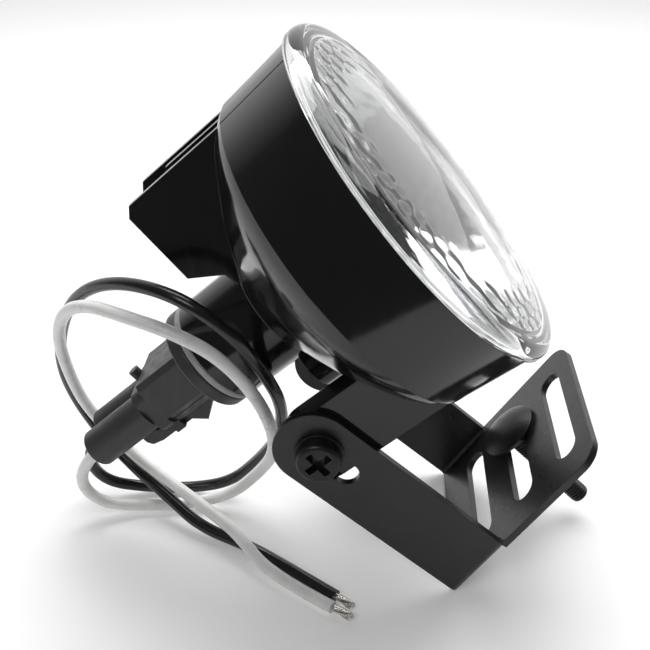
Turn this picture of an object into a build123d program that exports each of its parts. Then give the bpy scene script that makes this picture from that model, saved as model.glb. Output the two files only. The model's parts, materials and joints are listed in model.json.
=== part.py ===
"""Fog light on a U-shaped bracket, with its bulb, plug and free leads.

Millimetres, +Z up, standing on z = 0. Two local frames carry the pieces:
the bracket frame (x along the base plate, y across it, z up the ears) and
the lamp frame (x up, y to the right hand side, z forward along the optical axis).
"""
from build123d import *
from math import cos, hypot, pi, radians, sin, sqrt, tan
import os

# ---- stance -------------------------------------------------------------
floor_edge_x = 33.0      # where the bracket's rear lower edge meets the floor
bracket_pitch = 56.1     # rise of the base plate from the floor, degrees
lamp_pitch = 41.5        # rise of the optical axis from the floor, degrees

# ---- bracket ------------------------------------------------------------
sheet = 2.0              # steel sheet
base_length = 58.5       # along the base plate
bracket_width = 53.8     # outside the ears
base_corner = 6.0
bend_radius = 3.0        # outside of the bend
ear_width = 20.9
ear_end_radius = 10.7
ear_rake = 6.5           # forward lean of the ears, degrees
ear_end_height = 59.3    # centre of the round end above the plate's underside
ear_slot_clearance = 0.35  # each side of the pivot screw
ear_slot_travel = 9.2
pivot_height = 57.5      # pivot screws, at the outer end of their slots
base_slot_width = 7.6
base_slot_length = 37.0
base_slot_pitch = 17.4
base_slot_count = 3
base_slot_first = 15.0   # centre of the rearmost slot from the rear edge

# ---- housing ------------------------------------------------------------
lens_radius = 50.0
front_radius = 48.9      # housing behind the lens
shoulder_radius = 47.6
shoulder_z = -21.5
neck_radius = 15.2
neck_root_z = -47.5
neck_end_z = -69.0
bulb_bore_radius = 10.6
wall = 2.4
lip_depth = 6.0
groove_depth = 3.0
groove_inner = 46.0
groove_outer = 47.7
tongue_clearance = 0.2
ledge_depth = 1.8        # seat of the reflector's rim behind the lens
reflector_seat_radius = 45.0
fin_thickness = 2.2
fin_pitch = 8.0
fin_top = 45.8
fin_rear_z = -56.0
middle_fin_rear_z = -45.4
vent_x = -19.3           # centre of the vent boss below the axis
vent_radius = 8.0
vent_bore_radius = 5.8
vent_end_z = -52.0
vent_depth = 5.0
vent_root_z = -34.0
vent_cap_recess = 1.0
vent_hole_circle = 2.6
vent_hole_radius = 0.7
pivot_x = -30.1          # pivot below and behind the lens rim
pivot_z = -57.6
lug_radius = 9.8
lug_thickness = 8.0
side_gap = 0.1           # between a lug and its ear

# ---- lens and reflector -------------------------------------------------
rim_height = 3.0
rim_round = 1.8
dome_height = 8.5
glass = 3.2
reflector_radius = 42.0
reflector_wall = 1.5
reflector_depth = 32.0
reflector_hole = 11.0

# ---- fasteners ----------------------------------------------------------
screw_radius = 2.95
screw_length = 12.0
screw_head_radius = 5.8
screw_head_height = 3.6
screw_head_round = 1.2
recess_span = 7.6
recess_width = 2.0
recess_depth = 2.4
washer_radius = 6.5
washer_thickness = 1.0
insert_radius = 4.2
thread_clearance = 0.05
bolt_radius = 2.95
bolt_length = 32.0
bolt_head_radius = 8.8
bolt_head_height = 3.6
bolt_head_edge = 1.0
bolt_lean = 10.0         # the loose bolt hangs askew in its slot, degrees
bolt_y = 9.5
bolt_gap = 0.05
bolt_tip_chamfer = 0.6

# ---- bulb ---------------------------------------------------------------
seal_thickness = 2.0     # O-ring between the neck and the bulb's flange
seal_inner = 12.6
seal_outer = 15.5
flange_radius = 15.3
flange_thickness = 4.0
flange_round = 0.8
seal_round = 0.6
stem_radius = 10.0
stem_end_z = -48.0
capsule_seat = 6.0       # depth of the capsule in the stem
capsule_radius = 5.8
capsule_wall = 1.0
capsule_length = 28.0
filament_z = -26.0
filament_length = 5.0
filament_radius = 0.8
lead_radius = 0.35
lead_offset = 1.8
base_width = 20.5
base_top = 8.6
base_bottom = -8.0
base_rear_z = -91.0
base_chamfer = 1.5       # along the block's top edges
base_low_chamfer = 4.5
socket_width = 17.0
socket_height = 11.0
socket_front_z = -77.0
blade_width = 2.8
blade_thickness = 0.8
blade_rear_z = -88.0
way_offset = 5.2         # the two contacts from the middle

# ---- plug ---------------------------------------------------------------
nose_clearance = 0.2
nose_front_z = -78.0
collar_length = 4.1
collar_margin = 1.6
collar_corner = 3.0
barrel_radius = 5.6
barrel_rear_z = -117.0
barrel_bore_radius = 3.9
barrel_bore_depth = 9.0
barrel_round = 0.8
web_half_height = 3.0    # web between the barrels
web_setback = 9.0
seal_recess = 3.6        # the wire seal sits this deep in its barrel
wire_clearance = 0.02
cavity_width = 4.0
cavity_height = 3.4
latch_width = 8.0
latch_gap = 0.2          # between the lever and the bulb's block
latch_pivot_x = -8.9
latch_pivot_z = -93.2
latch_boss_radius = 1.6
latch_hook_z = -79.7     # front of the hook
latch_hook_tip = 0.8
latch_back_x = -10.4     # underside of the lever
latch_pad_z = -105.4     # rear end of the finger pad
trunnion_radius = 1.0
trunnion_clearance = 0.05
cheek_thickness = 1.6
cheek_gap = 0.2
nub_radius = 1.6
nub_height = 5.0

# ---- leads --------------------------------------------------------------
lead_diameter = 3.5
strand_bundle_radius = 1.25
strand_length = 6.8
white_route = [
    (-62.94, -5.2, 35.33), (-71.9, -5.2, 27.4), (-77.4, -4.0, 16.4), (-73.0, -0.6, 5.6),
    (-60.8, 2.6, 2.4), (-47.6, 4.8, 1.9), (-34.1, 6.0, 5.0), (-24.4, 2.2, 17.4),
    (-18.8, -6.2, 31.0), (-18.9, -14.0, 46.0), (-22.8, -20.6, 61.0), (-30.9, -23.0, 72.6),
    (-42.1, -22.4, 78.6), (-54.1, -17.8, 79.8), (-65.4, -10.6, 79.0), (-74.6, -3.2, 73.0),
    (-79.6, 2.9, 61.2), (-80.0, 8.2, 47.0), (-78.4, 12.8, 33.0), (-71.8, 15.0, 20.2),
    (-60.8, 9.6, 13.0), (-49.8, 3.0, 9.6), (-39.4, -4.6, 7.6), (-29.6, -12.6, 6.0),
    (-19.4, -24.4, 1.8), (-1.2, -35.6, 1.8),
]
black_route = [
    (-62.94, 5.2, 35.33), (-71.9, 5.2, 27.4), (-77.8, 6.8, 16.4), (-73.6, 9.6, 5.6),
    (-61.4, 11.6, 2.4), (-48.0, 12.4, 1.9), (-35.0, 12.0, 5.2), (-25.0, 8.0, 17.8),
    (-18.0, -0.4, 32.8), (-16.2, -9.0, 48.4), (-19.2, -17.4, 63.2), (-25.4, -23.2, 77.4),
    (-35.6, -24.2, 87.2), (-48.2, -17.4, 88.4), (-61.0, -8.4, 84.4), (-72.4, 1.4, 75.0),
    (-80.4, 8.8, 61.0), (-83.4, 12.6, 45.8), (-82.2, 17.6, 30.8), (-76.2, 18.8, 17.2),
    (-65.0, 12.0, 9.6), (-53.0, 2.4, 6.6), (-41.8, -6.6, 2.9), (-26.6, -12.8, 1.8),
    (-15.4, -20.6, 1.8), (-0.6, -31.4, 1.8),
]

# ---- local frames -------------------------------------------------------
bracket_frame = Plane(
    origin=(floor_edge_x, 0, 0),
    x_dir=(cos(radians(bracket_pitch)), 0, sin(radians(bracket_pitch))),
    z_dir=(-sin(radians(bracket_pitch)), 0, cos(radians(bracket_pitch))),
)
ear_lean = tan(radians(ear_rake))
pivot_along = ear_width / 2 + ear_lean * pivot_height
pivot_point = bracket_frame.from_local_coords(Vector(pivot_along, 0, pivot_height))
lamp_up = Vector(-sin(radians(lamp_pitch)), 0, cos(radians(lamp_pitch)))
lamp_forward = Vector(cos(radians(lamp_pitch)), 0, sin(radians(lamp_pitch)))
lamp_frame = Plane(
    origin=pivot_point - lamp_up * pivot_x - lamp_forward * pivot_z,
    x_dir=lamp_up,
    z_dir=lamp_forward,
)
ear_outside = bracket_width / 2
lug_outside = ear_outside - sheet - side_gap


# ---- small helpers ------------------------------------------------------
def turned(points):
    """Solid of revolution about the frame's z from (radius, z) points."""
    face = make_face(Plane.XZ * Polyline(*points, close=True))
    return revolve(face, Axis.Z)


def tube(outer, inner, low, high):
    """Plain ring between two heights."""
    return turned([(inner, low), (outer, low), (outer, high), (inner, high)])


def rod(radius, low, high):
    return Pos(0, 0, (low + high) / 2) * Cylinder(radius, high - low)


def block(x_span, y_span, z_span):
    """Box from three (low, high) spans."""
    spans = (x_span, y_span, z_span)
    middle = [(low + high) / 2 for low, high in spans]
    return Pos(*middle) * Box(*[high - low for low, high in spans])


def across(radius, low, high):
    """Cylinder along the local y axis."""
    return Pos(0, (low + high) / 2, 0) * Rot(90, 0, 0) * Cylinder(radius, high - low)


def in_lamp(shape):
    return lamp_frame.location * shape


def in_bracket(shape):
    return bracket_frame.location * shape


def both_sides(shape):
    """A piece and its mirror image across the middle plane, as one group."""
    return Compound([*shape.solids(), *shape.mirror(Plane.XZ).solids()])


# ---- bracket ------------------------------------------------------------
def ear_profile():
    """Side view of an ear: straight raked flanks and a round end."""
    end_along = ear_width / 2 + ear_lean * ear_end_height
    shank = Polyline(
        (0, 0),
        (ear_width, 0),
        (end_along + ear_end_radius * cos(radians(ear_rake)),
         ear_end_height - ear_end_radius * sin(radians(ear_rake))),
        (end_along - ear_end_radius * cos(radians(ear_rake)),
         ear_end_height + ear_end_radius * sin(radians(ear_rake))),
        close=True,
    )
    face = make_face(shank) + Pos(end_along, ear_end_height) * Circle(ear_end_radius)
    return Plane.XZ * face


def channel():
    """The U section of base and ears, bent with round corners."""
    height = ear_end_height + ear_end_radius + 1
    outer = Rectangle(bracket_width, 2 * height)
    outer = fillet(outer.vertices(), bend_radius)
    inner = Rectangle(bracket_width - 2 * sheet, 2 * (height - sheet))
    inner = fillet(inner.vertices(), bend_radius - sheet)
    section = Plane.YZ * (Pos(0, height) * outer - Pos(0, height) * inner)
    solid = extrude(section, base_length)
    return solid - block((-1, base_length + 1), (-bracket_width, bracket_width),
                         (height, 3 * height))


def ear_slot(side):
    low = pivot_height - ear_slot_travel
    middle = (pivot_height + low) / 2
    width = 2 * (screw_radius + ear_slot_clearance)
    shape = SlotCenterToCenter(hypot(ear_slot_travel, ear_slot_travel * ear_lean), width)
    shape = Rot(0, 0, 90 - ear_rake) * shape
    shape = Pos(ear_width / 2 + ear_lean * middle, middle) * shape
    cut = extrude(Plane.XZ * shape, 2 * sheet, both=True)
    return Pos(0, side * ear_outside, 0) * cut


def base_slots():
    cuts = []
    for index in range(base_slot_count):
        along = base_slot_first + index * base_slot_pitch
        slot = Rot(0, 0, 90) * SlotOverall(base_slot_length, base_slot_width)
        cuts.append(Pos(along, 0, 0) * extrude(slot, 2 * sheet, both=True))
    return cuts


def bracket():
    bent = channel() & extrude(ear_profile(), bracket_width, both=True)
    plate = Pos(base_length / 2, 0) * Rectangle(base_length, bracket_width)
    front = plate.vertices().group_by(Axis.X)[-1]
    plate = extrude(fillet(front, base_corner), sheet)
    rear = block((-1, ear_width), (-bracket_width, bracket_width), (-1, sheet))
    body = (plate - rear) + bent
    for side in (-1, 1):
        body -= ear_slot(side)
    for cut in base_slots():
        body -= cut
    return in_bracket(body)


# ---- housing ------------------------------------------------------------
def bowl_line(inset):
    """Bell curve of the housing from the neck to the shoulder, moved inwards by inset."""
    points = [(neck_radius, neck_root_z), (22.0, -43.0), (30.0, -38.0), (37.5, -32.2),
              (43.5, -27.2), (shoulder_radius, shoulder_z)]
    forward = inset * 0.9
    return Spline(*[(radius - inset * 0.55, z + forward) for radius, z in points])


def housing_outside():
    curve = bowl_line(0)
    start, end = curve @ 0, curve @ 1
    rest = Polyline((end.X, end.Y), (front_radius, 0), (0, 0), (0, neck_end_z),
                    (neck_radius, neck_end_z), (start.X, start.Y))
    return revolve(make_face(Plane.XZ * (curve + rest)), Axis.Z)


def housing_inside():
    curve = bowl_line(wall)
    start, end = curve @ 0, curve @ 1
    lip_radius = reflector_seat_radius - 2
    rest = Polyline((end.X, end.Y), (end.X, -lip_depth - 2), (lip_radius, -lip_depth),
                    (lip_radius, -ledge_depth), (reflector_seat_radius, -ledge_depth),
                    (reflector_seat_radius, 1), (0, 1), (0, start.Y), (start.X, start.Y))
    hollow = revolve(make_face(Plane.XZ * (curve + rest)), Axis.Z)
    return hollow + rod(bulb_bore_radius, neck_end_z - 1, neck_root_z + 6)


def fin(offset, rear_z):
    """One upright rib from the bell's rear to the neck."""
    chamfer = 2.4
    outline = Polyline((fin_top, shoulder_z - 1), (fin_top, rear_z + chamfer),
                       (fin_top - chamfer, rear_z), (22.6, rear_z - 0.6), (17.3, rear_z + 7.4),
                       (neck_radius - 2, rear_z + 8), (neck_radius - 2, neck_root_z + 8),
                       (fin_top - 12, shoulder_z - 1), close=True)
    return Pos(0, offset, 0) * extrude(make_face(Plane.XZ * outline), fin_thickness / 2, both=True)


def lug():
    """Flat ear of the housing that carries one pivot screw."""
    low, high = lug_outside - lug_thickness, lug_outside
    shape = Pos(pivot_x, 0, pivot_z) * across(lug_radius, low, high)
    shape += block((pivot_x - lug_radius, pivot_x + lug_radius), (low, high),
                   (pivot_z, shoulder_z - 2.5))
    return shape - Pos(pivot_x, 0, pivot_z) * across(insert_radius, low - 1, high + 1)


def housing():
    body = housing_outside()
    body += Pos(vent_x, 0, 0) * rod(vent_radius, vent_end_z, vent_root_z)
    for index, rear in ((-1, fin_rear_z), (0, middle_fin_rear_z), (1, fin_rear_z)):
        body += fin(index * fin_pitch, rear)
    body += lug() + lug().mirror(Plane.XZ)
    body -= housing_inside()
    body -= Pos(vent_x, 0, 0) * rod(vent_bore_radius, vent_end_z - 1, vent_end_z + vent_depth)
    body -= tube(groove_outer, groove_inner, -groove_depth, 1)
    return in_lamp(body)


def vent_cap():
    """Breather pressed into the vent boss."""
    low = vent_end_z + vent_cap_recess
    disc = rod(vent_bore_radius, low, vent_end_z + vent_depth)
    for turn in range(4):
        disc -= Rot(0, 0, 45 + 90 * turn) * Pos(vent_hole_circle, 0, low) * Cylinder(vent_hole_radius, 2)
    return in_lamp(Pos(vent_x, 0, 0) * disc)


def thread_inserts():
    low, high = lug_outside - lug_thickness, lug_outside
    bush = across(insert_radius, low, high) - across(screw_radius + thread_clearance, low - 1, high + 1)
    return in_lamp(both_sides(Pos(pivot_x, 0, pivot_z) * bush))


# ---- lens and reflector -------------------------------------------------
def dome(radius, rim, crown):
    """Shallow spherical line from the rim to the crown."""
    height = crown - rim
    ball = (radius ** 2 + height ** 2) / (2 * height)
    middle = radius / 2
    return ThreePointArc((radius, rim), (middle, crown - ball + sqrt(ball ** 2 - middle ** 2)), (0, crown))


def tongue_span():
    return groove_inner + tongue_clearance, groove_outer - tongue_clearance


def tongue_end():
    return -groove_depth + 3 * tongue_clearance


def glass_outside():
    """Solid of the thick rim and the dome, before it is hollowed."""
    shoulder = lens_radius - rim_round
    top = rim_height + rim_round
    diagonal = rim_round * cos(radians(45))
    corner = ThreePointArc((lens_radius, rim_height), (shoulder + diagonal, rim_height + diagonal),
                           (shoulder, top))
    back = Polyline((0, dome_height), (0, 0), (lens_radius, 0), (lens_radius, rim_height))
    outline = corner + dome(shoulder, top, dome_height) + back
    return revolve(make_face(Plane.XZ * outline), Axis.Z)


def glass_inside():
    radius = reflector_seat_radius - 1
    edge = rim_height + rim_round - glass
    crown = dome_height - glass
    outline = dome(radius, edge, crown) + Polyline((0, crown), (0, -1), (radius, -1), (radius, edge))
    return revolve(make_face(Plane.XZ * outline), Axis.Z)


def lens():
    """Moulded glass: a thick rim, a shallow dome and a tongue for the groove."""
    inner_edge, outer_edge = tongue_span()
    tongue = tube(outer_edge, inner_edge, tongue_end(), rim_height / 2)
    return in_lamp(glass_outside() - glass_inside() + tongue)


def lens_seal():
    """Sealant that fills the groove around the lens's tongue."""
    inner_edge, outer_edge = tongue_span()
    ring = tube(groove_outer, groove_inner, -groove_depth, 0)
    return in_lamp(ring - tube(outer_edge, inner_edge, tongue_end(), 1))


def paraboloid(shift):
    """Reflector's line from the bulb hole to the rim, moved back by shift."""
    focal = (reflector_radius ** 2 - reflector_hole ** 2) / (4 * (reflector_depth - ledge_depth))
    bottom = -reflector_depth - reflector_hole ** 2 / (4 * focal)
    radii = [reflector_hole, 18, 26, 34, reflector_radius]
    return Spline(*[(radius, bottom + radius ** 2 / (4 * focal) - shift) for radius in radii])


def reflector():
    front, back = paraboloid(0), paraboloid(reflector_wall * 1.3)
    rim = reflector_seat_radius - 0.2
    edge = Polyline(front @ 1, (reflector_radius, -0.3), (rim, -0.3), (rim, -ledge_depth),
                    (reflector_radius + 0.8, -ledge_depth), back @ 1)
    hole = Line(front @ 0, back @ 0)
    outline = front + edge + back + hole
    return in_lamp(revolve(make_face(Plane.XZ * outline), Axis.Z))


# ---- bulb ---------------------------------------------------------------
def flange_top_z():
    return neck_end_z - seal_thickness


def bulb_o_ring():
    ring = tube(seal_outer, seal_inner, flange_top_z(), neck_end_z)
    rims = ring.edges().filter_by(GeomType.CIRCLE).group_by(SortBy.RADIUS)[-1]
    return in_lamp(fillet(rims, seal_round))


def bulb_base():
    """Moulded body: stem in the neck, flange, square block with the socket."""
    top, low = flange_top_z(), flange_top_z() - flange_thickness
    flange = rod(flange_radius, low, top)
    rims = flange.edges().filter_by(GeomType.CIRCLE)
    body = fillet(rims, flange_round) + rod(stem_radius, low, stem_end_z)
    middle = (base_top + base_bottom) / 2
    section = Pos(middle, 0) * Rectangle(base_top - base_bottom, base_width)
    section = chamfer(section.vertices().group_by(Axis.X)[-1], base_chamfer)
    section = chamfer(section.vertices().group_by(Axis.X)[0], base_low_chamfer)
    body += Pos(0, 0, base_rear_z) * extrude(section, low - base_rear_z)
    body -= block((-socket_height / 2, socket_height / 2), (-socket_width / 2, socket_width / 2),
                  (base_rear_z - 1, socket_front_z))
    body -= rod(capsule_radius, stem_end_z - capsule_seat, stem_end_z + 1)
    for side in (-1, 1):
        body -= blade(side)
    return in_lamp(body)


def blade(side):
    return block((-blade_thickness / 2, blade_thickness / 2),
                 (side * way_offset - blade_width / 2, side * way_offset + blade_width / 2),
                 (blade_rear_z, socket_front_z + 5))


def bulb_terminals():
    return in_lamp(Compound([*blade(-1).solids(), *blade(1).solids()]))


def bulb_envelope():
    """Glass capsule with a round tip, open at the stem."""
    low = stem_end_z - capsule_seat
    high = low + capsule_length
    outer = rod(capsule_radius, low, high) + Pos(0, 0, high) * Sphere(capsule_radius)
    bore = capsule_radius - capsule_wall
    return in_lamp(outer - rod(bore, low + 2, high) - Pos(0, 0, high) * Sphere(bore))


def bulb_filament():
    """Coil and its two lead wires, standing in the capsule's pinch."""
    coil = Pos(0, 0, filament_z) * Rot(90, 0, 0) * Cylinder(filament_radius, filament_length)
    low = stem_end_z - 4
    leads = [Pos(0, side * lead_offset, 0) * rod(lead_radius, low, filament_z) for side in (-1, 1)]
    return in_lamp(coil + leads[0] + leads[1])


# ---- plug ---------------------------------------------------------------
def wire_bore():
    return rod(lead_diameter / 2 + wire_clearance, barrel_rear_z - 1, nose_front_z)


def connector_plug():
    """Nose in the bulb's socket, a collar, and one round barrel for each lead."""
    high = socket_height / 2 - nose_clearance
    wide = socket_width / 2 - nose_clearance
    collar_rear = base_rear_z - collar_length
    body = block((-high, high), (-wide, wide), (base_rear_z, nose_front_z))
    tall, broad = high + collar_margin, wide + collar_margin
    collar = block((-tall, tall), (-broad, broad), (collar_rear, base_rear_z))
    body += fillet(collar.edges().filter_by(Axis.Z), collar_corner)
    for side in (-1, 1):
        barrel = rod(barrel_radius, barrel_rear_z, collar_rear)
        body += Pos(0, side * way_offset, 0) * fillet(barrel.edges().group_by(Axis.Z)[0], barrel_round)
    body += block((-web_half_height, web_half_height), (-way_offset, way_offset),
                  (barrel_rear_z + web_setback, collar_rear))
    nub = Rot(0, 90, 0) * Cylinder(nub_radius, nub_height)
    body += Pos(high + nub_height / 2, 0, base_rear_z - collar_length / 2) * nub
    body += latch_cheeks(-high)
    for side in (-1, 1):
        body -= Pos(0, side * way_offset, 0) * rod(barrel_bore_radius, barrel_rear_z - 1,
                                                   barrel_rear_z + barrel_bore_depth)
        body -= Pos(0, side * way_offset, 0) * wire_bore()
        body -= contact_space(side)
    return in_lamp(body)


def latch_cheeks(top):
    """The pair of ears under the collar that the latch lever turns in."""
    inner = latch_width / 2 + cheek_gap
    low, high = latch_pivot_x - latch_boss_radius, top
    cheeks = block((low, high), (-inner - cheek_thickness, inner + cheek_thickness),
                   (latch_pivot_z - latch_boss_radius, latch_pivot_z + latch_boss_radius))
    cheeks -= block((low - 1, -socket_height / 2 - collar_margin), (-inner, inner),
                    (latch_pivot_z - 9, latch_pivot_z + 9))
    bore = trunnion_radius + trunnion_clearance
    return cheeks - Pos(latch_pivot_x, 0, latch_pivot_z) * across(bore, -2 * inner, 2 * inner)


def contact_space(side):
    return block((-cavity_height / 2, cavity_height / 2),
                 (side * way_offset - cavity_width / 2, side * way_offset + cavity_width / 2),
                 (base_rear_z - 2, nose_front_z + 1))


def plug_terminals():
    """Sockets that grip the blades and hold the leads."""
    groups = []
    for side in (-1, 1):
        shell = block((-cavity_height / 2, cavity_height / 2),
                      (side * way_offset - cavity_width / 2, side * way_offset + cavity_width / 2),
                      (base_rear_z - 2, nose_front_z - 1))
        tail = rod(lead_diameter / 2, barrel_rear_z + barrel_bore_depth, base_rear_z - 2)
        groups += (shell - blade(side) + Pos(0, side * way_offset, 0) * tail).solids()
    return in_lamp(Compound(groups))


def plug_wire_seals():
    low, high = barrel_rear_z + seal_recess, barrel_rear_z + barrel_bore_depth
    seal = tube(barrel_bore_radius, lead_diameter / 2 + wire_clearance, low, high)
    return in_lamp(both_sides(Pos(0, way_offset, 0) * seal))


def connector_latch():
    """Lever under the plug: hook at the front, finger pad at the rear, trunnions between."""
    top = base_bottom - latch_gap
    outline = Polyline((top, latch_hook_z), (top - latch_hook_tip, latch_hook_z), (-13.4, -85.9),
                       (latch_back_x, -89.4), (latch_back_x, -101.0), (-9.6, -104.4),
                       (-7.9, latch_pad_z), (-6.4, latch_pad_z), (-6.4, -101.0), (top, -96.5), close=True)
    lever = extrude(make_face(Plane.XZ * outline), latch_width / 2, both=True)
    boss = across(latch_boss_radius, -latch_width / 2, latch_width / 2)
    reach = latch_width / 2 + cheek_gap + cheek_thickness
    boss += across(trunnion_radius, -reach, reach)
    return in_lamp(lever + Pos(latch_pivot_x, 0, latch_pivot_z) * boss)


# ---- fasteners ----------------------------------------------------------
def cross_recess():
    half_span, half_width = recess_span / 2, recess_width / 2
    arm = block((-half_span, half_span), (-recess_depth, 1), (-half_width, half_width))
    return arm + arm.rotate(Axis.Y, 90)


def pivot_washers():
    low = ear_outside + bolt_gap
    ring = across(washer_radius, low, low + washer_thickness)
    ring -= across(screw_radius, low - 1, low + 2 * washer_thickness)
    return in_lamp(both_sides(Pos(pivot_x, 0, pivot_z) * ring))


def pivot_screws():
    """Pan head screws through the ears into the lugs' inserts."""
    seat = ear_outside + bolt_gap + washer_thickness
    head = across(screw_head_radius, seat, seat + screw_head_height)
    head = fillet(head.edges().group_by(Axis.Y)[-1], screw_head_round)
    screw = head + across(screw_radius, seat - screw_length, seat)
    screw -= Pos(0, seat + screw_head_height, 0) * cross_recess()
    return in_lamp(both_sides(Pos(pivot_x, 0, pivot_z) * screw))


def mounting_bolt():
    """Round-head bolt hanging loose in the middle slot, its head on the plate."""
    rise = bolt_head_height - bolt_head_edge
    cap_radius = (bolt_head_radius ** 2 + rise ** 2) / (2 * rise)
    cap = Pos(0, 0, bolt_head_height - cap_radius) * Sphere(cap_radius)
    head = rod(bolt_head_radius, 0, bolt_head_edge)
    head += cap & rod(bolt_head_radius, bolt_head_edge, bolt_head_height + 1)
    shank = rod(bolt_radius, -bolt_length, 0)
    shank = chamfer(shank.edges().group_by(Axis.Z)[0], bolt_tip_chamfer)
    bolt = Rot(0, bolt_lean, 0) * (head + shank)
    lift = sheet + bolt_gap + bolt_head_radius * sin(radians(bolt_lean))
    along = base_slot_first + base_slot_pitch + (lift - sheet / 2) * tan(radians(bolt_lean))
    return in_bracket(Pos(along, bolt_y, lift) * bolt)


# ---- leads --------------------------------------------------------------
def corner_radii(route):
    """The largest tangent arcs that each corner's two runs allow."""
    corners = [Vector(*point) for point in route]
    radii = []
    for before, here, after in zip(corners, corners[1:], corners[2:]):
        run_in, run_out = here - before, after - here
        turn = radians(run_in.get_angle(run_out))
        radii.append(0.45 * min(run_in.length, run_out.length) / tan(turn / 2))
    return radii


def lead(name, route):
    """Round lead swept along its route, with an arc at every corner."""
    radii = corner_radii(route)
    path = FilletPolyline(*route, radius=radii)
    start = Plane(origin=path @ 0, z_dir=path % 0)
    solid = sweep(start * Circle(lead_diameter / 2), path=path)
    expected = pi * lead_diameter ** 2 / 4 * path.length
    print(name, "radii", [round(radius, 1) for radius in radii])
    print(name, "length", round(path.length, 1), "volume ratio", round(solid.volume / expected, 4))
    return solid


def strands(route):
    """Bare end of a lead, lying on the floor."""
    before, end = Vector(*route[-2]), Vector(*route[-1])
    tip = Plane(origin=end, z_dir=end - before)
    return tip.location * rod(strand_bundle_radius, 0, strand_length)


NODES = {
    "bracket": bracket,
    "housing": housing,
    "vent_cap": vent_cap,
    "thread_inserts": thread_inserts,
    "lens": lens,
    "lens_seal": lens_seal,
    "reflector": reflector,
    "bulb_o_ring": bulb_o_ring,
    "bulb_base": bulb_base,
    "bulb_terminals": bulb_terminals,
    "bulb_envelope": bulb_envelope,
    "bulb_filament": bulb_filament,
    "connector_plug": connector_plug,
    "connector_latch": connector_latch,
    "plug_terminals": plug_terminals,
    "plug_wire_seals": plug_wire_seals,
    "pivot_washers": pivot_washers,
    "pivot_screws": pivot_screws,
    "mounting_bolt": mounting_bolt,
    "white_lead": lambda: lead("white_lead", white_route),
    "black_lead": lambda: lead("black_lead", black_route),
    "white_strands": lambda: strands(white_route),
    "black_strands": lambda: strands(black_route),
}

os.makedirs("parts", exist_ok=True)
for name, build in NODES.items():
    export_step(build(), f"parts/{name}.step")
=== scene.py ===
import json
from math import atan2, cos, pi, radians, sin, sqrt, tan

import bmesh
import bpy
import numpy as np
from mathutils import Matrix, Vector


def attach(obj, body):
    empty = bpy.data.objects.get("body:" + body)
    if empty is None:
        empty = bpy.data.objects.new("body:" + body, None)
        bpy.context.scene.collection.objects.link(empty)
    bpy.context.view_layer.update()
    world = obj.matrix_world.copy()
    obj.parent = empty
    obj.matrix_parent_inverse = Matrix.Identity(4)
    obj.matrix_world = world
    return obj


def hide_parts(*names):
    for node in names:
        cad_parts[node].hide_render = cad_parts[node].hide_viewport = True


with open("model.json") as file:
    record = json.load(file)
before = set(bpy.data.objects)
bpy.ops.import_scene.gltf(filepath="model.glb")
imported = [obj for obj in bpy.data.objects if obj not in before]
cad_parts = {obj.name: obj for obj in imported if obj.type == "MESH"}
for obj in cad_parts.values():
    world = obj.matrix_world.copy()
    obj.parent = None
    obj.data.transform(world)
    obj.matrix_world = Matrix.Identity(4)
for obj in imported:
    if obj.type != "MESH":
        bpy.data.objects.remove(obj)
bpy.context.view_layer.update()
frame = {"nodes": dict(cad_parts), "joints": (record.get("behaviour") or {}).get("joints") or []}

MM = 0.001

# ---- sizes, in millimetres ------------------------------------------------
LAMP_PITCH = radians(41.5)       # rise of the optical axis
BRACKET_PITCH = radians(56.1)    # rise of the base plate
PIVOT_UP = -30.1                 # pivot in the lamp's frame: below the axis,
PIVOT_FORWARD = -57.6            # and behind the lens's rim
LENS_RADIUS = 50.0
LENS_CROWN = 8.5
GLASS = 3.2
RIM_ROUND = 3.4
RIPPLES = 26                     # round the lens, on its inside near the rim
RIPPLE_START = 33
RIPPLE_HEIGHT = 0.3
LEDGE_RADIUS = 45.0
REFLECTOR_RADIUS = 42.0
REFLECTOR_HOLE = 11.0
REFLECTOR_DEPTH = 32.0
LEDGE_DEPTH = 1.8
HOUSING_RADIUS = 48.9
SHOULDER_RADIUS = 47.6
SHOULDER_DEPTH = 21.5
BOLT_RADIUS = 2.95
BOLT_LENGTH = 32.0
BOLT_HEAD_RADIUS = 8.8
BOLT_HEAD_HEIGHT = 3.6
BOLT_LEAN = radians(10.0)
BOLT_SIDE = 9.5                  # the bolt, off the bracket's middle
MIDDLE_SLOT = 32.4               # from the plate's rear edge
THREAD_PITCH = 1.0
THREAD_DEPTH = 0.45
LEAD_DIAMETER = 3.5
STRAND_LENGTH = 6.8

# ---- the two leads' routes, in metres -------------------------------------
WHITE_ROUTE = [
    (-0.06294, -0.0052, 0.03533), (-0.0719, -0.0052, 0.0274), (-0.0774, -0.004, 0.0164),
    (-0.073, -0.0006, 0.0056), (-0.0608, 0.0026, 0.0024), (-0.0476, 0.0048, 0.0019),
    (-0.0341, 0.006, 0.005), (-0.0244, 0.0022, 0.0174), (-0.0188, -0.0062, 0.031),
    (-0.0189, -0.014, 0.046), (-0.0228, -0.0206, 0.061), (-0.0309, -0.023, 0.0726),
    (-0.0421, -0.0224, 0.0786), (-0.0541, -0.0178, 0.0798), (-0.0654, -0.0106, 0.079),
    (-0.0746, -0.0032, 0.073), (-0.0796, 0.0029, 0.0612), (-0.08, 0.0082, 0.047),
    (-0.0784, 0.0128, 0.033), (-0.0718, 0.015, 0.0202), (-0.0608, 0.0096, 0.013),
    (-0.0498, 0.003, 0.0096), (-0.0394, -0.0046, 0.0076), (-0.0296, -0.0126, 0.006),
    (-0.0194, -0.0244, 0.0018), (-0.0012, -0.0356, 0.0018),
]
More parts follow.
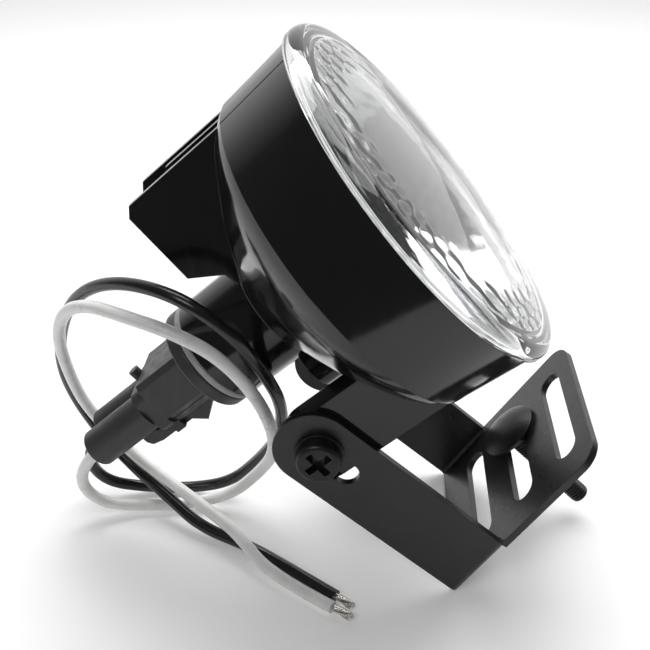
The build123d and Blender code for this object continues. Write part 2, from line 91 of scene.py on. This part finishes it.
BLACK_ROUTE = [
    (-0.06294, 0.0052, 0.03533), (-0.0719, 0.0052, 0.0274), (-0.0778, 0.0068, 0.0164),
    (-0.0736, 0.0096, 0.0056), (-0.0614, 0.0116, 0.0024), (-0.048, 0.0124, 0.0019),
    (-0.035, 0.012, 0.0052), (-0.025, 0.008, 0.0178), (-0.018, -0.0004, 0.0328),
    (-0.0162, -0.009, 0.0484), (-0.0192, -0.0174, 0.0632), (-0.0254, -0.0232, 0.0774),
    (-0.0356, -0.0242, 0.0872), (-0.0482, -0.0174, 0.0884), (-0.061, -0.0084, 0.0844),
    (-0.0724, 0.0014, 0.075), (-0.0804, 0.0088, 0.061), (-0.0834, 0.0126, 0.0458),
    (-0.0822, 0.0176, 0.0308), (-0.0762, 0.0188, 0.0172), (-0.065, 0.012, 0.0096),
    (-0.053, 0.0024, 0.0066), (-0.0418, -0.0066, 0.0029), (-0.0266, -0.0128, 0.0018),
    (-0.0154, -0.0206, 0.0018), (-0.0006, -0.0314, 0.0018),
]

# ---- frames ---------------------------------------------------------------
joints = {joint["name"]: joint for joint in frame["joints"]}
pivot = np.array(joints["lamp_tilt"]["pos_m"]) / MM
lamp_up = np.array([-sin(LAMP_PITCH), 0.0, cos(LAMP_PITCH)])
lamp_forward = np.array([cos(LAMP_PITCH), 0.0, sin(LAMP_PITCH)])
across = np.array([0.0, -1.0, 0.0])
lamp_origin = pivot - PIVOT_UP * lamp_up - PIVOT_FORWARD * lamp_forward
plate_along = np.array([cos(BRACKET_PITCH), 0.0, sin(BRACKET_PITCH)])
plate_normal = np.array([-sin(BRACKET_PITCH), 0.0, cos(BRACKET_PITCH)])
floor_edge = np.array([33.0, 0.0, 0.0])


def on_lamp(up, side, forward):
    """Points of the lamp's frame in metres: origin plus each coordinate times its axis."""
    up, side, forward = np.broadcast_arrays(up, side, forward)
    return (lamp_origin + up[..., None] * lamp_up + side[..., None] * across
            + forward[..., None] * lamp_forward) * MM


def on_bracket(along, side, height):
    """Points of the bracket's frame in metres."""
    along, side, height = np.broadcast_arrays(along, side, height)
    return (floor_edge + along[..., None] * plate_along + side[..., None] * np.array([0.0, 1.0, 0.0])
            + height[..., None] * plate_normal) * MM


# ---- mesh helpers ---------------------------------------------------------
def piece_from(name, points, faces, sharp=35.0, tidy=True):
    """A mesh object from a point array and a face array, merged, closed and facing outwards."""
    mesh = bpy.data.meshes.new(name)
    mesh.from_pydata(points.reshape(-1, 3), [], faces.tolist())
    if tidy:
        work = bmesh.new()
        work.from_mesh(mesh)
        bmesh.ops.remove_doubles(work, verts=work.verts, dist=1e-6)
        bmesh.ops.dissolve_degenerate(work, edges=work.edges, dist=1e-7)
        bmesh.ops.recalc_face_normals(work, faces=work.faces)
        work.to_mesh(mesh)
        work.free()
    mesh.shade_smooth()
    mesh.set_sharp_from_angle(angle=radians(sharp))
    piece = bpy.data.objects.new(name, mesh)
    bpy.context.scene.collection.objects.link(piece)
    return piece


def grid_faces(rows, columns, close_rows=False, close_columns=False, first=0):
    """Quads between neighbouring rows and columns of a point grid, wrapped where it closes."""
    row = np.arange(rows if close_rows else rows - 1)
    column = np.arange(columns if close_columns else columns - 1)
    i, j = np.meshgrid(row, column, indexing="ij")
    i_next, j_next = (i + 1) % rows, (j + 1) % columns
    quads = np.stack([i * columns + j, i_next * columns + j,
                      i_next * columns + j_next, i * columns + j_next], -1)
    return quads.reshape(-1, 4) + first


def tube_points(centres, radius, sides):
    """Rings of a round tube: each centre plus radius times the cosine and sine of two unit
    vectors square to the path, the first of them kept as level as it can be."""
    along = np.gradient(centres, axis=0)
    along /= np.linalg.norm(along, axis=1)[:, None]
    level = np.cross(along, [0.0, 0.0, 1.0])
    level /= np.maximum(np.linalg.norm(level, axis=1), 1e-9)[:, None]
    upright = np.cross(level, along)
    angle = np.linspace(0, 2 * pi, sides, endpoint=False)
    return (centres[:, None] + radius * (np.cos(angle)[None, :, None] * level[:, None]
                                         + np.sin(angle)[None, :, None] * upright[:, None]))


# ---- finishes -------------------------------------------------------------
class Finish:
    """A material being mixed: its shader and short ways to add nodes to it."""

    def __init__(self, name):
        self.material = bpy.data.materials.new(name)
        self.material.use_nodes = True
        self.tree = self.material.node_tree
        self.shader = self.tree.nodes["Principled BSDF"]
        self.coords = self.node("ShaderNodeTexCoord").outputs["Object"]

    def node(self, kind, **settings):
        made = self.tree.nodes.new(kind)
        for key, value in settings.items():
            setattr(made, key, value)
        return made

    def feed(self, node, **sockets):
        for key, value in sockets.items():
            socket = node.inputs[key.replace("_", " ")]
            if isinstance(value, bpy.types.NodeSocket):
                self.tree.links.new(value, socket)
            else:
                socket.default_value = value
        return node

    def fix(self, **sockets):
        self.feed(self.shader, **sockets)

    def noise(self, per_mm, detail=3.0, stretch=(1, 1, 1), turn=0.0):
        """Noise with so many grains to the millimetre, stretched along the axes."""
        mapping = self.node("ShaderNodeMapping")
        self.feed(mapping, Vector=self.coords, Scale=stretch, Rotation=(0, turn, 0))
        texture = self.node("ShaderNodeTexNoise")
        self.feed(texture, Vector=mapping.outputs["Vector"], Scale=per_mm / MM, Detail=detail)
        return texture.outputs["Fac"]

    def spread(self, value, low, high, start=0.3, end=0.7):
        """value between start and end mapped to low and high."""
        ranger = self.node("ShaderNodeMapRange")
        self.feed(ranger, Value=value, From_Min=start, From_Max=end, To_Min=low, To_Max=high)
        return ranger.outputs["Result"]

    def blend(self, share, first, second):
        """Colour between first and second by share."""
        mixer = self.node("ShaderNodeMix", data_type="RGBA")
        for socket, value in ((mixer.inputs[0], share), (mixer.inputs[6], first), (mixer.inputs[7], second)):
            if isinstance(value, bpy.types.NodeSocket):
                self.tree.links.new(value, socket)
            else:
                socket.default_value = value
        return mixer.outputs[2]

    def sum(self, first, second, operation="ADD"):
        maths = self.node("ShaderNodeMath", operation=operation)
        for socket, value in zip(maths.inputs, (first, second)):
            if isinstance(value, bpy.types.NodeSocket):
                self.tree.links.new(value, socket)
            else:
                socket.default_value = value
        return maths.outputs[0]

    def rounded(self, radius_mm):
        """Normal that rounds every edge by a small radius."""
        bevel = self.node("ShaderNodeBevel", samples=4)
        return self.feed(bevel, Radius=radius_mm * MM).outputs["Normal"]

    def edges(self, radius_mm, start=0.03, end=0.25):
        """1 along sharp edges and 0 on faces: one minus the cosine between the rounded and own normal."""
        geometry = self.node("ShaderNodeNewGeometry")
        dot = self.node("ShaderNodeVectorMath", operation="DOT_PRODUCT")
        self.tree.links.new(self.rounded(radius_mm), dot.inputs[0])
        self.tree.links.new(geometry.outputs["Normal"], dot.inputs[1])
        return self.spread(self.sum(1.0, dot.outputs["Value"], "SUBTRACT"), 0.0, 1.0, start, end)

    def relief(self, height, depth_mm, normal=None):
        bump = self.node("ShaderNodeBump")
        self.feed(bump, Height=height, Distance=depth_mm * MM, Strength=1.0)
        if normal is not None:
            self.feed(bump, Normal=normal)
        return bump.outputs["Normal"]


def grey(value, warmth=0.0):
    return (value * (1 + warmth), value, value * (1 - warmth), 1.0)


def moulded(name, shade, gloss, grain_mm, grain_depth, edge_round, worn=0.0, wavy=0.0):
    """Moulded plastic: uneven shade, fine grain, long shallow waves from the tool and rubbed edges."""
    finish = Finish(name)
    cloud = finish.noise(0.06, 4)
    colour = finish.blend(finish.spread(cloud, 0, 1), grey(shade * 0.85), grey(shade * 1.2))
    rub = finish.noise(0.5, 5, (1, 1, 0.2), 0.7)
    rough = finish.spread(rub, gloss * 0.8, gloss * 1.35)
    if worn:
        mask = finish.sum(finish.edges(0.35), finish.spread(rub, 0.2, 1.0), "MULTIPLY")
        colour = finish.blend(mask, colour, grey(shade + worn))
    finish.fix(Base_Color=colour, Roughness=rough)
    normal = finish.rounded(edge_round)
    if wavy:
        normal = finish.relief(finish.noise(0.05, 1), wavy, normal)
    finish.fix(Normal=finish.relief(finish.noise(1 / grain_mm, 2), grain_depth, normal))
    return finish.material


def powder_coat():
    """Satin black powder coat: orange-peel skin and thin bright rubs on the edges."""
    finish = Finish("satin_black_powder_coat")
    cloud = finish.noise(0.08, 4)
    colour = finish.blend(finish.spread(cloud, 0, 1), grey(0.009), grey(0.015))
    rub = finish.noise(0.7, 4)
    mask = finish.sum(finish.edges(0.45), finish.spread(rub, 0.1, 1.0), "MULTIPLY")
    finish.fix(Base_Color=finish.blend(mask, colour, grey(0.075)))
    finish.fix(Roughness=finish.spread(rub, 0.27, 0.4), Specular_IOR_Level=0.5)
    peel = finish.relief(finish.noise(1.1, 2), 0.012, finish.rounded(0.4))
    finish.fix(Normal=finish.relief(finish.noise(0.12, 2), 0.04, peel))
    return finish.material


def black_steel(name, shade=0.022, bright=0.16):
    """Black-plated steel: dark metal with handling marks and brighter edges."""
    finish = Finish(name)
    rub = finish.noise(1.2, 5)
    mask = finish.sum(finish.edges(0.3), finish.spread(rub, 0.15, 1.0), "MULTIPLY")
    colour = finish.blend(finish.spread(finish.noise(0.3, 3), 0, 1), grey(shade * 0.8), grey(shade * 1.3))
    finish.fix(Base_Color=finish.blend(mask, colour, grey(bright)), Metallic=0.55)
    finish.fix(Roughness=finish.spread(rub, 0.28, 0.46))
    finish.fix(Normal=finish.relief(finish.noise(3.0, 2), 0.006, finish.rounded(0.2)))
    return finish.material


def bare_metal(name, colour, low, high, grain=2.0, depth=0.004):
    """Plain metal with fine marks."""
    finish = Finish(name)
    rub = finish.noise(grain, 4)
    dull = tuple(part * 0.85 for part in colour[:3]) + (1.0,)
    finish.fix(Base_Color=finish.blend(finish.spread(rub, 0, 1), dull, colour), Metallic=1.0)
    finish.fix(Roughness=finish.spread(rub, low, high))
    finish.fix(Normal=finish.relief(rub, depth))
    return finish.material


def clear_glass(name, tint, wave):
    """Pressed glass: clear, with faint flow waves and a little surface dust."""
    finish = Finish(name)
    finish.fix(Base_Color=tint, Transmission_Weight=1.0, IOR=1.5)
    finish.fix(Roughness=finish.spread(finish.noise(0.4, 5), 0.0, 0.03, 0.45, 0.75))
    finish.fix(Normal=finish.relief(finish.noise(0.09, 2), wave))
    return finish.material


def rubber(name, shade, gloss=0.5):
    finish = Finish(name)
    cloud = finish.noise(0.6, 4)
    finish.fix(Base_Color=finish.blend(finish.spread(cloud, 0, 1), grey(shade * 0.88), grey(shade * 1.08)))
    finish.fix(Roughness=finish.spread(cloud, gloss * 0.85, gloss * 1.2))
    finish.fix(Normal=finish.relief(finish.noise(2.5, 2), 0.01, finish.rounded(0.25)))
    return finish.material


def pvc(name, shade, gloss, warmth=0.0):
    """Extruded lead insulation: smooth, with faint draw lines and handling marks."""
    finish = Finish(name)
    cloud = finish.noise(0.25, 5)
    colour = finish.blend(finish.spread(cloud, 0, 1), grey(shade * 0.9, warmth), grey(shade, warmth))
    finish.fix(Base_Color=colour, Roughness=finish.spread(cloud, gloss * 0.8, gloss * 1.3))
    finish.fix(Normal=finish.relief(finish.noise(0.9, 2), 0.02))
    return finish.material


finishes = {
    "housing": moulded("gloss_black_housing", 0.0085, 0.11, 0.5, 0.0015, 0.45, 0.02, 0.03),
    "bracket": powder_coat(),
    "nylon": moulded("dark_grey_nylon", 0.034, 0.42, 0.25, 0.008, 0.3, 0.03),
    "plug": moulded("plug_nylon", 0.03, 0.4, 0.25, 0.008, 0.3, 0.03),
    "vent": moulded("matt_vent_plastic", 0.014, 0.5, 0.3, 0.006, 0.2),
    "glass": clear_glass("clear_pressed_glass", (0.985, 0.995, 0.99, 1.0), 0.03),
    "quartz": clear_glass("bulb_quartz", (1.0, 1.0, 1.0, 1.0), 0.01),
    "mirror": bare_metal("metallised_mirror", (0.44, 0.44, 0.45, 1.0), 0.06, 0.2, 0.3, 0.002),
    "seal": rubber("light_grey_silicone", 0.36),
    "sealant": rubber("black_sealant", 0.02, 0.6),
    "screws": black_steel("black_zinc_screws"),
    "bolt": black_steel("black_oxide_bolt", 0.02, 0.2),
    "brass": bare_metal("turned_brass", (0.72, 0.55, 0.27, 1.0), 0.2, 0.35),
    "contacts": bare_metal("tinned_contacts", (0.78, 0.76, 0.7, 1.0), 0.22, 0.4),
    "tungsten": bare_metal("tungsten_wire", (0.4, 0.4, 0.42, 1.0), 0.3, 0.5),
    "strands": bare_metal("tinned_copper_strands", (0.86, 0.82, 0.78, 1.0), 0.16, 0.34),
    "white": pvc("white_insulation", 0.9, 0.3, 0.01),
    "black": pvc("black_insulation", 0.012, 0.22),
}
node_finishes = {
    "bracket": "bracket", "housing": "housing", "vent_cap": "vent", "thread_inserts": "brass",
    "lens": "glass", "lens_seal": "sealant", "reflector": "mirror", "bulb_o_ring": "seal",
    "bulb_base": "nylon", "bulb_terminals": "contacts", "bulb_envelope": "quartz",
    "bulb_filament": "tungsten", "connector_plug": "plug", "connector_latch": "plug",
    "plug_terminals": "contacts", "plug_wire_seals": "seal", "pivot_washers": "screws",
    "pivot_screws": "screws", "mounting_bolt": "bolt", "white_lead": "white",
    "black_lead": "black", "white_strands": "strands", "black_strands": "strands",
}
for node_name, finish_name in node_finishes.items():
    for material_slot in frame["nodes"][node_name].material_slots:
        material_slot.material = finishes[finish_name]


def finish_off(piece, finish, body, slot, *nodes):
    """Paints a piece, hangs it on its body and hides the CAD nodes that it stands for."""
    piece.data.materials.append(finishes[finish])
    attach(piece, body)
    if nodes:
        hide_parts(*nodes)
    return piece


# ---- camera ---------------------------------------------------------------
camera_data = bpy.data.cameras.new("camera")
camera_data.angle = 2 * atan2(325, 1000)
camera_data.clip_start = 0.01
camera_data.clip_end = 20.0
camera = bpy.data.objects.new("camera", camera_data)
bpy.context.scene.collection.objects.link(camera)
bpy.context.scene.camera = camera
azimuth, elevation = radians(3.119), radians(29.624)
looking = Vector((-sin(azimuth) * cos(elevation), cos(azimuth) * cos(elevation), -sin(elevation)))
camera.location = (0.00739, -0.23169, 0.20077)
camera.rotation_euler = looking.to_track_quat("-Z", "Y").to_euler()


# ---- leads ----------------------------------------------------------------
def lead(name, route, finish):
    """Round lead on a quadratic NURBS line whose control points are the route."""
    curve = bpy.data.curves.new(name, "CURVE")
    curve.dimensions = "3D"
    curve.bevel_depth = LEAD_DIAMETER / 2 * MM
    curve.bevel_resolution = 8
    curve.use_fill_caps = True
    spline = curve.splines.new("NURBS")
    spline.points.add(len(route) - 1)
    for point, place in zip(spline.points, route):
        point.co = (*place, 1.0)
    spline.order_u = 3
    spline.use_endpoint_u = True
    spline.resolution_u = 12
    piece = bpy.data.objects.new(name, curve)
    bpy.context.scene.collection.objects.link(piece)
    return finish_off(piece, finish, "lamp", f"{finish}_insulation", f"{finish}_lead")


def bare_strands(name, route, node):
    """Bundle of thin wires past the end of a lead: each wire starts on a small spiral of places
    in the lead's section, twists a third of a turn and splays a little towards its tip."""
    wires, wire_radius, sides = 9, 0.29, 8
    golden_turn = 2.399963
    end, before = np.array(route[-1]) / MM, np.array(route[-2]) / MM
    along = (end - before) / np.linalg.norm(end - before)
    level = np.cross(along, [0.0, 0.0, 1.0])
    upright = np.cross(level, along)
    step = np.linspace(0, 1, 14)
    rng = np.random.default_rng(7)
    points, faces, first = [], [], 0
    for index in range(wires):
        reach = 0.86 * sqrt(index / (wires - 1))
        start = index * golden_turn
        splay = reach * (1 + 0.45 * step ** 2) + 0.05 * step * rng.uniform(-1, 1)
        turn = start + 1.4 * step + 0.25 * step ** 2 * rng.uniform(-1, 1)
        length = STRAND_LENGTH * rng.uniform(0.9, 1.0)
        sideways, lift = splay * np.cos(turn), splay * np.sin(turn)
        lift = np.maximum(lift, wire_radius - end[2] + 0.02)
        centres = (end + (step * length - 0.5)[:, None] * along + sideways[:, None] * level
                   + lift[:, None] * upright)
        rings = tube_points(centres, wire_radius, sides)
        points.append(np.concatenate([centres[:1], rings.reshape(-1, 3), centres[-1:]]))
        count = len(centres) * sides
        faces.append(grid_faces(len(centres), sides, False, True, first + 1).tolist())
        around = np.arange(sides)
        beside = (around + 1) % sides
        faces.append(np.stack([first + 0 * around, first + 1 + beside, first + 1 + around], -1).tolist())
        last = first + 1 + count - sides
        tip = first + 1 + count
        faces.append(np.stack([tip + 0 * around, last + around, last + beside], -1).tolist())
        first += count + 2
    mesh = bpy.data.meshes.new(name)
    mesh.from_pydata(np.concatenate(points) * MM, [], [face for group in faces for face in group])
    work = bmesh.new()
    work.from_mesh(mesh)
    bmesh.ops.recalc_face_normals(work, faces=work.faces)
    work.to_mesh(mesh)
    work.free()
    mesh.shade_smooth()
    piece = bpy.data.objects.new(name, mesh)
    bpy.context.scene.collection.objects.link(piece)
    return finish_off(piece, "strands", "lamp", "wire_strands", node)


white_lead = lead("white_wire", WHITE_ROUTE, "white")
black_lead = lead("black_wire", BLACK_ROUTE, "black")
white_tip = bare_strands("white_wire_strands", WHITE_ROUTE, "white_strands")
black_tip = bare_strands("black_wire_strands", BLACK_ROUTE, "black_strands")


# ---- lens -----------------------------------------------------------------
def arc(centre, radius, start, end, count):
    """Points on a circle from one angle to another, in degrees."""
    angle = np.radians(np.linspace(start, end, count))
    return centre[0] + radius * np.cos(angle), centre[1] + radius * np.sin(angle)


def cap_line(radius, edge, crown, count):
    """Spherical cap from (radius, edge) to (0, crown): the ball's height above its centre."""
    rise = crown - edge
    ball = (radius ** 2 + rise ** 2) / (2 * rise)
    reach = radius * np.cos(np.linspace(0, pi / 2, count))
    return reach, crown - ball + np.sqrt(ball ** 2 - reach ** 2)


def glass_lens():
    """Lens turned about the axis: tongue, flat seat, side, round rim, dome, and back along the
    inside of the dome, where a wandering sine round the axis
    times a wandering sine outwards ripples the outer band."""
    rim_radii, rim_heights = arc((LENS_RADIUS - RIM_ROUND, 1.5), RIM_ROUND, 0, 72, 14)
    dome_radii, dome_heights = cap_line(rim_radii[-1], rim_heights[-1], LENS_CROWN, 40)
    inner_radii, inner_heights = cap_line(LEDGE_RADIUS - 1.5, 1.9, LENS_CROWN - GLASS, 36)
    parts = [
        ([46.2, 46.2, 47.5, 47.5, 49.5, LENS_RADIUS], [-0.1, -2.4, -2.4, 0.0, 0.0, 0.5]),
        (rim_radii, rim_heights),
        (dome_radii[1:], dome_heights[1:]),
        (inner_radii[::-1], inner_heights[::-1]),
        ([LEDGE_RADIUS - 1.2, LEDGE_RADIUS - 0.6], [1.0, 0.0]),
    ]
    radii = np.concatenate([part[0] for part in parts])
    heights = np.concatenate([part[1] for part in parts])
    columns = 288
    angle = np.linspace(0, 2 * pi, columns, endpoint=False)[None, :]
    radius, height = radii[:, None], heights[:, None]
    inside = np.zeros_like(radii)
    first = sum(len(part[0]) for part in parts[:3])
    inside[first:first + len(inner_radii)] = 1
    band = np.clip((radius - RIPPLE_START) / 5, 0, 1) * np.clip((LEDGE_RADIUS - 1.5 - radius) / 2, 0, 1)
    round_wave = np.sin(RIPPLES * angle + 2 * np.sin(5 * angle))
    outward_wave = np.sin(radius * 0.9 + 1.5 * np.sin(3 * angle))
    ripple = RIPPLE_HEIGHT * inside[:, None] * band * round_wave * outward_wave
    points = on_lamp(radius * np.cos(angle), radius * np.sin(angle), height + ripple)
    return piece_from("lens_glass_piece", points, grid_faces(len(radii), columns, True, True), 50)


finish_off(glass_lens(), "glass", "lamp", "lens_glass", "lens")


# ---- reflector ------------------------------------------------------------
def fluted_reflector():
    """Dish on the paraboloid z = bottom + r squared / 4 f, with a shallow pillow pressed into
    each facet: a bulge times one minus the square of both facet coordinates."""
    focal = (REFLECTOR_RADIUS ** 2 - REFLECTOR_HOLE ** 2) / (4 * (REFLECTOR_DEPTH - LEDGE_DEPTH))
    bottom = -REFLECTOR_DEPTH - REFLECTOR_HOLE ** 2 / (4 * focal)
    rows, columns, sectors, rings = 90, 480, 20, 5
    reach = np.linspace(REFLECTOR_HOLE, REFLECTOR_RADIUS, rows)[:, None]
    angle = np.linspace(0, 2 * pi, columns, endpoint=False)[None, :]
    share = (reach - REFLECTOR_HOLE) / (REFLECTOR_RADIUS - REFLECTOR_HOLE)
    ring = share * rings
    shift = np.floor(np.minimum(ring, rings - 1e-6)) % 2 / 2
    sector = angle / (2 * pi) * sectors + shift
    u, v = 2 * (sector % 1) - 1, 2 * (ring % 1) - 1
    u = u * np.ones_like(ring)
    v = v * np.ones_like(angle)
    pillow = 0.3 * (1 - u ** 2) * (1 - v ** 2) * (0.15 + share ** 2)
    dish = bottom + reach ** 2 / (4 * focal)
    front = np.minimum(dish + pillow, -0.6)
    back = dish - 1.7
    x, y = reach * np.cos(angle), reach * np.sin(angle)
    rim_reach = np.array([LEDGE_RADIUS - 0.2, LEDGE_RADIUS - 0.2])[:, None]
    rim = on_lamp(rim_reach * np.cos(angle), rim_reach * np.sin(angle),
                  np.array([-0.4, -LEDGE_DEPTH])[:, None] + 0 * angle)
    points = np.concatenate([on_lamp(x, y, front), rim, on_lamp(x, y, back)[::-1]])
    return piece_from("fluted_reflector", points, grid_faces(len(points), columns, True, True), 18)


finish_off(fluted_reflector(), "mirror", "lamp", "reflector_metal", "reflector")


# ---- mounting bolt --------------------------------------------------------
def bolt_place(side_x, side_y, height):
    """The loose bolt's own frame, leant over in the middle slot."""
    lift = 2.0 + 0.05 + BOLT_HEAD_RADIUS * sin(BOLT_LEAN)
    along = MIDDLE_SLOT + (lift - 1.0) * tan(BOLT_LEAN)
    side_x, side_y, height = np.broadcast_arrays(side_x, side_y, height)
    return on_bracket(along + side_x * cos(BOLT_LEAN) + height * sin(BOLT_LEAN), BOLT_SIDE + side_y,
                      lift - side_x * sin(BOLT_LEAN) + height * cos(BOLT_LEAN))


def threaded_bolt():
    """Dome head on a shank whose radius follows a triangle wave along its helix: the distance
    down the shank plus the pitch times the turn, folded about the middle of each pitch."""
    columns = 48
    angle = np.linspace(0, 2 * pi, columns, endpoint=False)[None, :]
    rise = BOLT_HEAD_HEIGHT - 1.0
    ball = (BOLT_HEAD_RADIUS ** 2 + rise ** 2) / (2 * rise)
    dome_reach = BOLT_HEAD_RADIUS * np.sin(np.linspace(0, pi / 2, 18))
    dome_height = BOLT_HEAD_HEIGHT - ball + np.sqrt(ball ** 2 - dome_reach ** 2)
    head_reach = np.concatenate([dome_reach, [BOLT_HEAD_RADIUS, BOLT_HEAD_RADIUS - 0.25, BOLT_RADIUS]])
    head_height = np.concatenate([dome_height, [0.3, 0.0, 0.0]])
    down = np.linspace(0.2, BOLT_LENGTH, 340)
    phase = (down[:, None] / THREAD_PITCH + angle / (2 * pi)) % 1
    wave = 1 - 2 * np.abs(phase - 0.5)
    fade = np.clip((down - 1.2) / 1.0, 0, 1) * np.clip((BOLT_LENGTH - down) / 0.8, 0, 1)
    taper = np.clip((BOLT_LENGTH - down) / 0.7, 0.0, 1.0)[:, None]
    reach = BOLT_RADIUS - 0.02 - THREAD_DEPTH * (1 - wave) * fade[:, None] - 0.25 * (1 - taper)
    head = bolt_place(head_reach[:, None] * np.cos(angle), head_reach[:, None] * np.sin(angle),
                      head_height[:, None] + 0 * angle)
    shank = bolt_place(reach * np.cos(angle), reach * np.sin(angle), -down[:, None] + 0 * angle)
    tip = bolt_place(0 * angle, 0 * angle, -BOLT_LENGTH + 0 * angle)
    points = np.concatenate([head, shank, tip])
    return piece_from("threaded_bolt", points, grid_faces(len(points), columns, False, True), 50)


finish_off(threaded_bolt(), "bolt", "mounting_bolt", "bolt_steel", "mounting_bolt")


# ---- housing trim ---------------------------------------------------------
def parting_seam():
    """Fine bead that the mould leaves along the can: a low ridge on the can's own radius."""
    turn = radians(13.0)
    depth = np.linspace(-0.4, -SHOULDER_DEPTH, 24)[:, None]
    radius = HOUSING_RADIUS + (SHOULDER_RADIUS - HOUSING_RADIUS) * (-depth / SHOULDER_DEPTH)
    offset = np.array([-0.22, -0.1, 0.1, 0.22, 0.1, -0.1])[None, :] / HOUSING_RADIUS
    height = np.array([-0.06, 0.09, 0.09, -0.06, -0.2, -0.2])[None, :]
    around = turn + offset
    reach = radius + height
    points = on_lamp(reach * np.cos(around), reach * np.sin(around), depth + 0 * around)
    return piece_from("parting_seam", points, grid_faces(24, 6, False, True), 60)


finish_off(parting_seam(), "housing", "lamp", "housing_plastic")


# ---- floor and light ------------------------------------------------------
def floor():
    half, front = 1.5, -0.17
    corners = np.array([[-half, front, 0], [half, front, 0], [half, half, 0], [-half, half, 0]], float)
    piece = piece_from("floor", corners, np.array([[0, 1, 2, 3]]), tidy=False)
    finish = Finish("pale_floor")
    cloud = finish.noise(0.004, 2)
    finish.fix(Base_Color=finish.blend(finish.spread(cloud, 0, 1), grey(0.86), grey(0.88)), Roughness=0.6)
    finish.fix(Emission_Color=grey(1.0), Emission_Strength=0.16)
    piece.data.materials.append(finish.material)


def softbox(name, place, target, size, power):
    light = bpy.data.lights.new(name, "AREA")
    light.shape = "RECTANGLE"
    light.size, light.size_y = size
    light.energy = power
    lamp = bpy.data.objects.new(name, light)
    lamp.location = place
    lamp.rotation_euler = (Vector(target) - Vector(place)).to_track_quat("-Z", "Y").to_euler()
    bpy.context.scene.collection.objects.link(lamp)


def studio():
    """World light: bright behind the part, dim in front of it, and white to the camera."""
    world = bpy.data.worlds.new("studio")
    bpy.context.scene.world = world
    world.use_nodes = True
    nodes, links = world.node_tree.nodes, world.node_tree.links
    background = nodes["Background"]
    direction = nodes.new("ShaderNodeTexCoord")
    split = nodes.new("ShaderNodeSeparateXYZ")
    ramp = nodes.new("ShaderNodeMapRange")
    rays = nodes.new("ShaderNodeLightPath")
    pick = nodes.new("ShaderNodeMath")
    pick.operation = "MAXIMUM"
    links.new(direction.outputs["Generated"], split.inputs[0])
    links.new(split.outputs["Y"], ramp.inputs["Value"])
    ramp.inputs["From Min"].default_value = 0.1
    ramp.inputs["From Max"].default_value = 0.6
    ramp.inputs["To Min"].default_value = 0.1
    ramp.inputs["To Max"].default_value = 1.0
    links.new(ramp.outputs["Result"], pick.inputs[0])
    links.new(rays.outputs["Is Camera Ray"], pick.inputs[1])
    links.new(pick.outputs[0], background.inputs["Strength"])
    background.inputs["Color"].default_value = (1, 1, 1, 1)


floor()
studio()
softbox("overhead_box", (0.05, 0.33, 0.75), (0.0, 0.0, 0.03), (0.8, 0.6), 6.5)
softbox("fill_box", (-0.25, -0.5, 0.6), (0.0, 0.0, 0.05), (0.35, 0.3), 1.3)
bpy.context.scene.view_settings.view_transform = "Standard"
